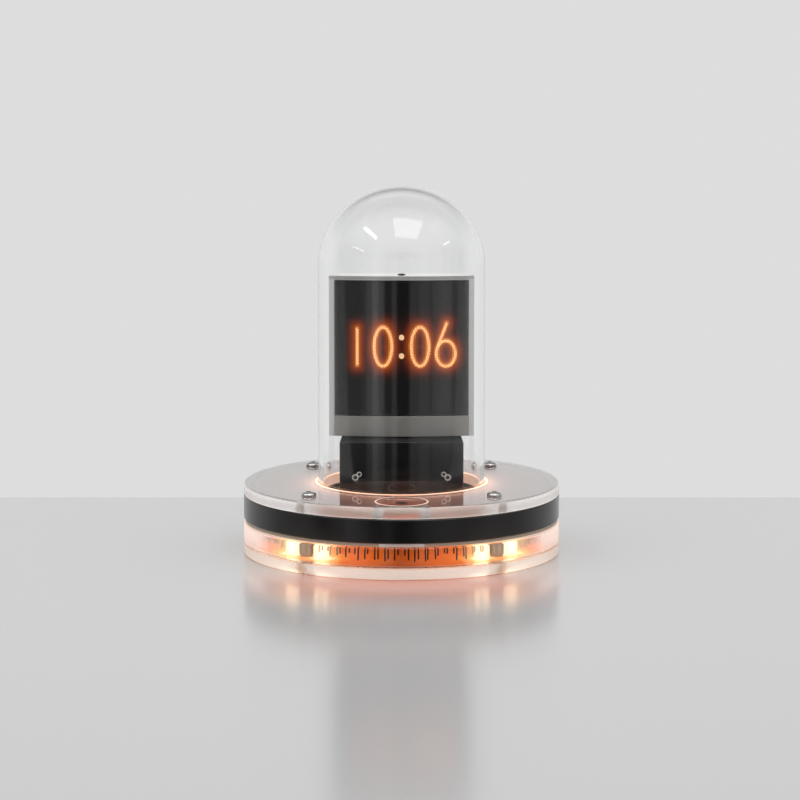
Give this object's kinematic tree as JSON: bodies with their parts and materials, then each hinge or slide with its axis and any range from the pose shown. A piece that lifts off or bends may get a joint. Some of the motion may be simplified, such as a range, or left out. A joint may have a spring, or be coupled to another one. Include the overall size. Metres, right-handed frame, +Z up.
{
  "type": "digital desk clock",
  "caption": "Desk clock with glowing wire numerals in a slim head on a black neck, under a lift-off glass dome on a round lit base with a push button.",
  "frame": {"origin": "middle of the underside, on the surface the clock stands on", "axes": "+Z up, front of the display towards -Y, +X to the right as seen from the front"},
  "size_m": [0.16, 0.16, 0.186],
  "materials": {
    "clear_acrylic": "clear acrylic with polished faces and a satin cut edge",
    "lit_band": "translucent acrylic band, warm where the lamps shine through it",
    "black_ring": "fine satin black",
    "black_deck": "matt black sheet",
    "black_gloss": "deep polished black",
    "frame_steel": "satin, brushed upright",
    "chin_steel": "satin, brushed across",
    "screw_steel": "turned stainless steel",
    "standoff_metal": "knurled",
    "nut_brass": "turned",
    "fibre_board": "glass-fibre laminate with a pale cut edge",
    "green_board": "lacquered laminate",
    "tinned_leads": "tinned wire",
    "lamp_amber": "lit amber lens",
    "light_guide": "lit light guide",
    "white_plastic": "moulded",
    "black_plastic": "moulded",
    "resistor_body": "lacquered",
    "capacitor_sleeve": "printed-free sleeve",
    "ferrite": "matt ferrite",
    "cell_steel": "pressed steel",
    "seal_rubber": "soft",
    "cable_jacket": "soft jacket",
    "dome_glass": "clear blown glass, polished rim",
    "screen_glass": "smoked glass",
    "numeral_wire": "glowing wire"
  },
  "bodies": {
    "base": {"bottom_plate": "clear_acrylic", "bottom_screws": "screw_steel", "light_band": "lit_band", "standoffs": "standoff_metal", "circuit_board": "fibre_board", "lead_pins": "tinned_leads", "chamber_lamps": "lamp_amber", "edge_header": "white_plastic", "housing_ring": "black_ring", "deck_plate": "black_deck", "top_plate": "clear_acrylic", "top_screws": "screw_steel", "rim_light": "light_guide", "button_light": "light_guide", "button_switch": "black_plastic", "driver_resistors": "resistor_body", "control_chips": "black_plastic", "capacitors": "capacitor_sleeve", "supply_coil": "ferrite", "cell_holder": "black_plastic", "backup_cell": "cell_steel", "power_socket": "screw_steel", "socket_tongue": "black_plastic", "set_switches": "black_plastic", "dome_seal": "seal_rubber", "neck_shell": "black_gloss", "neck_foot": "black_deck", "foot_screws": "screw_steel", "neck_screws": "screw_steel", "lock_screws": "screw_steel", "neck_post": "screw_steel", "post_nut": "nut_brass", "display_cable": "cable_jacket", "head_washer": "seal_rubber", "head_nut": "nut_brass", "head_frame": "frame_steel", "chin_band": "chin_steel", "screen_glass": "screen_glass", "numeral_plate": "black_deck", "hours_tens": "numeral_wire", "hours_units": "numeral_wire", "colon_dots": "numeral_wire", "minutes_tens": "numeral_wire", "minutes_units": "numeral_wire", "display_board": "green_board", "display_chips": "black_plastic", "cable_header": "white_plastic", "head_back": "frame_steel", "back_screws": "screw_steel", "cap_screw": "screw_steel"},
    "dome": {"glass_dome": "dome_glass"},
    "push_key": {"push_button": "clear_acrylic", "switch_plunger": "white_plastic"},
    "set_key_left": {"set_button_left": "black_plastic"},
    "set_key_right": {"set_button_right": "black_plastic"}
  },
  "joints": [
    {"name": "dome_lift", "type": "slide", "parent": "base", "child": "dome", "axis": [0, 0, 1], "range_m": [0, 0.13]},
    {"name": "button_press", "type": "slide", "parent": "base", "child": "push_key", "axis": [0, 0, -1], "range_m": [0, 0.001], "stiffness_N_per_m": 500, "springref_m": -0.001},
    {"name": "set_left_press", "type": "slide", "parent": "base", "child": "set_key_left", "axis": [0, -1, 0], "range_m": [0, 0.0006], "stiffness_N_per_m": 600, "springref_m": -0.0008},
    {"name": "set_right_press", "type": "slide", "parent": "base", "child": "set_key_right", "axis": [0, -1, 0], "range_m": [0, 0.0006], "stiffness_N_per_m": 600, "springref_m": -0.0008}
  ]
}
